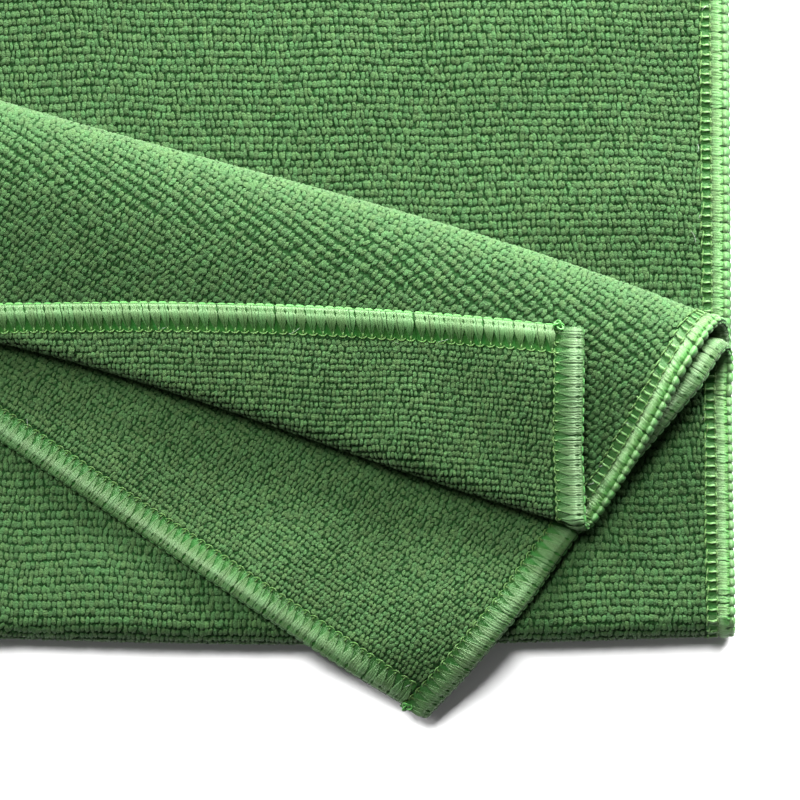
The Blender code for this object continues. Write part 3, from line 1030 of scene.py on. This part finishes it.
def pile_material(name, stops):
    """Split-fibre loops, pale and downy at the tip, with painted shade that darkens them towards
    the root.
    """
    material, tree, shader = new_material(name, roughness=0.7, sheen=0.11, specular=0.14)
    tip, tone, hue = parts_of(tree, "loop")
    # Painted shade: the colour darkens from tip to root by each point's share of the loop's height
    colour = toned(tree, tip, stops)
    colour = shaded(tree, colour, hue, tone, hue_range=0.012, value_range=0.16)
    cloudy = fibre_noise(tree, scale=28.0)
    colour = shaded(tree, colour, cloudy, cloudy, hue_range=0.006, value_range=0.10)
    # Fine noise that bumps the fibres and also paints specks of light and dark on them, as painted
    # highlights of the fibre tips
    split = fibre_noise(tree, scale=2300.0, detail=3.0)
    colour = shaded(tree, colour, split, split, hue_range=0.004, value_range=0.85)
    tree.links.new(colour, shader.inputs["Base Color"])
    bumped(tree, shader, split, distance=0.45 * MM)
    return material


def ground_material():
    """Knitted ground, which shows between the loops and is bare where no loops are needed."""
    material, tree, shader = new_material(
        "knitted_ground", roughness=0.9, sheen=0.05, specular=0.1
    )
    read = node(tree, "ShaderNodeAttribute", attribute_name="flat")
    place = {"Vector": read.outputs["Vector"]}
    columns = node(tree, "ShaderNodeTexWave", place | KNIT_P)
    rows = node(tree, "ShaderNodeTexWave", place | KNIT_Q, bands_direction="Y")
    knit = maths(tree, "MULTIPLY", columns.outputs["Fac"], rows.outputs["Fac"])
    colour = toned(tree, knit, GROUND_TONES)
    cloudy = fibre_noise(tree, scale=1800.0)
    colour = shaded(tree, colour, cloudy, cloudy, hue_range=0.01, value_range=0.2)
    tree.links.new(colour, shader.inputs["Base Color"])
    bumped(tree, shader, knit, distance=0.3 * MM)
    return material


def thread_material(name, stops):
    """Lustrous polyester filaments, laid across the band."""
    material, tree, shader = new_material(name, roughness=0.45, sheen=0.12, specular=0.35)
    across, inward, tone = parts_of(tree, "strand")
    # Colour follows the distance in from the edge; for the band threads these stops paint
    # highlight, shade and glow across it
    colour = toned(tree, inward, stops)
    colour = shaded(tree, colour, tone, tone, hue_range=0.008, value_range=0.10)
    waves = maths(tree, "SINE", maths(tree, "MULTIPLY", across, FILAMENTS * 2 * pi))
    ripple = maths(tree, "MULTIPLY_ADD", waves, 0.5, 0.5)
    uneven = maths(tree, "ADD", ripple, fibre_noise(tree, scale=900.0))
    colour = shaded(tree, colour, tone, ripple, hue_range=0.0, value_range=0.08)
    tree.links.new(colour, shader.inputs["Base Color"])
    bumped(tree, shader, uneven, distance=0.06 * MM)
    return material


# ---------------------------------------------------------------- the scene


def add_floor():
    """A plain white floor."""
    mesh = bpy.data.meshes.new("floor")
    half = FLOOR_SIZE / 2
    corners = [(-half, -half, 0), (half, -half, 0), (half, half, 0), (-half, half, 0)]
    mesh.from_pydata(corners, [], [(0, 1, 2, 3)])
    material = bpy.data.materials.new("floor_white")
    material.use_nodes = True
    shader = material.node_tree.nodes["Principled BSDF"]
    shader.inputs["Base Color"].default_value = FLOOR_WHITE
    shader.inputs["Roughness"].default_value = 0.9
    shader.inputs["Specular IOR Level"].default_value = 0.1
    mesh.materials.append(material)
    floor = bpy.data.objects.new("floor", mesh)
    bpy.context.scene.collection.objects.link(floor)


def add_light(name, turn, rise, distance, size, power):
    """A square lamp that shines at the cloth from this turn and rise."""
    data = bpy.data.lights.new(name, "AREA")
    data.energy = power
    data.size = size
    lamp = bpy.data.objects.new(name, data)
    away = Vector((cos(turn) * cos(rise), sin(turn) * cos(rise), sin(rise)))
    lamp.location = away * distance
    lamp.rotation_euler = away.to_track_quat("Z", "Y").to_euler()
    bpy.context.scene.collection.objects.link(lamp)


def add_camera():
    """Straight above the cloth, and framed as the photograph is."""
    data = bpy.data.cameras.new("camera")
    data.sensor_width = SENSOR
    data.lens = SENSOR * (CAMERA_HEIGHT - PHOTO_LEVEL) / PHOTO_WIDTH
    data.clip_end = CAMERA_FAR
    camera = bpy.data.objects.new("camera", data)
    camera.location = (*PHOTO_MIDDLE, CAMERA_HEIGHT)
    bpy.context.scene.collection.objects.link(camera)
    bpy.context.scene.camera = camera


def add_sky():
    """Faint light from all sides."""
    world = bpy.data.worlds.new("studio")
    world.use_nodes = True
    background = world.node_tree.nodes["Background"]
    background.inputs["Color"].default_value = (1, 1, 1, 1)
    background.inputs["Strength"].default_value = SKY_STRENGTH
    bpy.context.scene.world = world


def main():
    """Builds the cloth, then the floor, the camera and the lights."""
    rng = np.random.default_rng(SEED)
    points, faces, flat = ground_mesh()
    ground = piece_from("cloth_ground", points, faces, ground_material(), flat=flat)
    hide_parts("cloth")
    tree = BVHTree.FromPolygons(points.tolist(), faces.tolist())
    sky = {face: sky_map(tree, face) for face in (OUTER, INNER)}
    trim = pile(OUTER, sky[OUTER], pile_material("pile_outer", OUTER_TONES), rng)
    trim += pile(INNER, sky[INNER], pile_material("pile_inner", INNER_TONES), rng)
    trim += overlock(sky, rng)
    trim.append(hairs(sky, thread_material("loose_filament", HAIR_TONES), rng))

    add_floor()
    add_camera()
    for name, turn, rise, distance, size, power in LAMPS:
        add_light(name, radians(turn), radians(rise), distance, size, power)
    add_sky()
    bpy.context.scene.view_settings.view_transform = "Standard"


main()
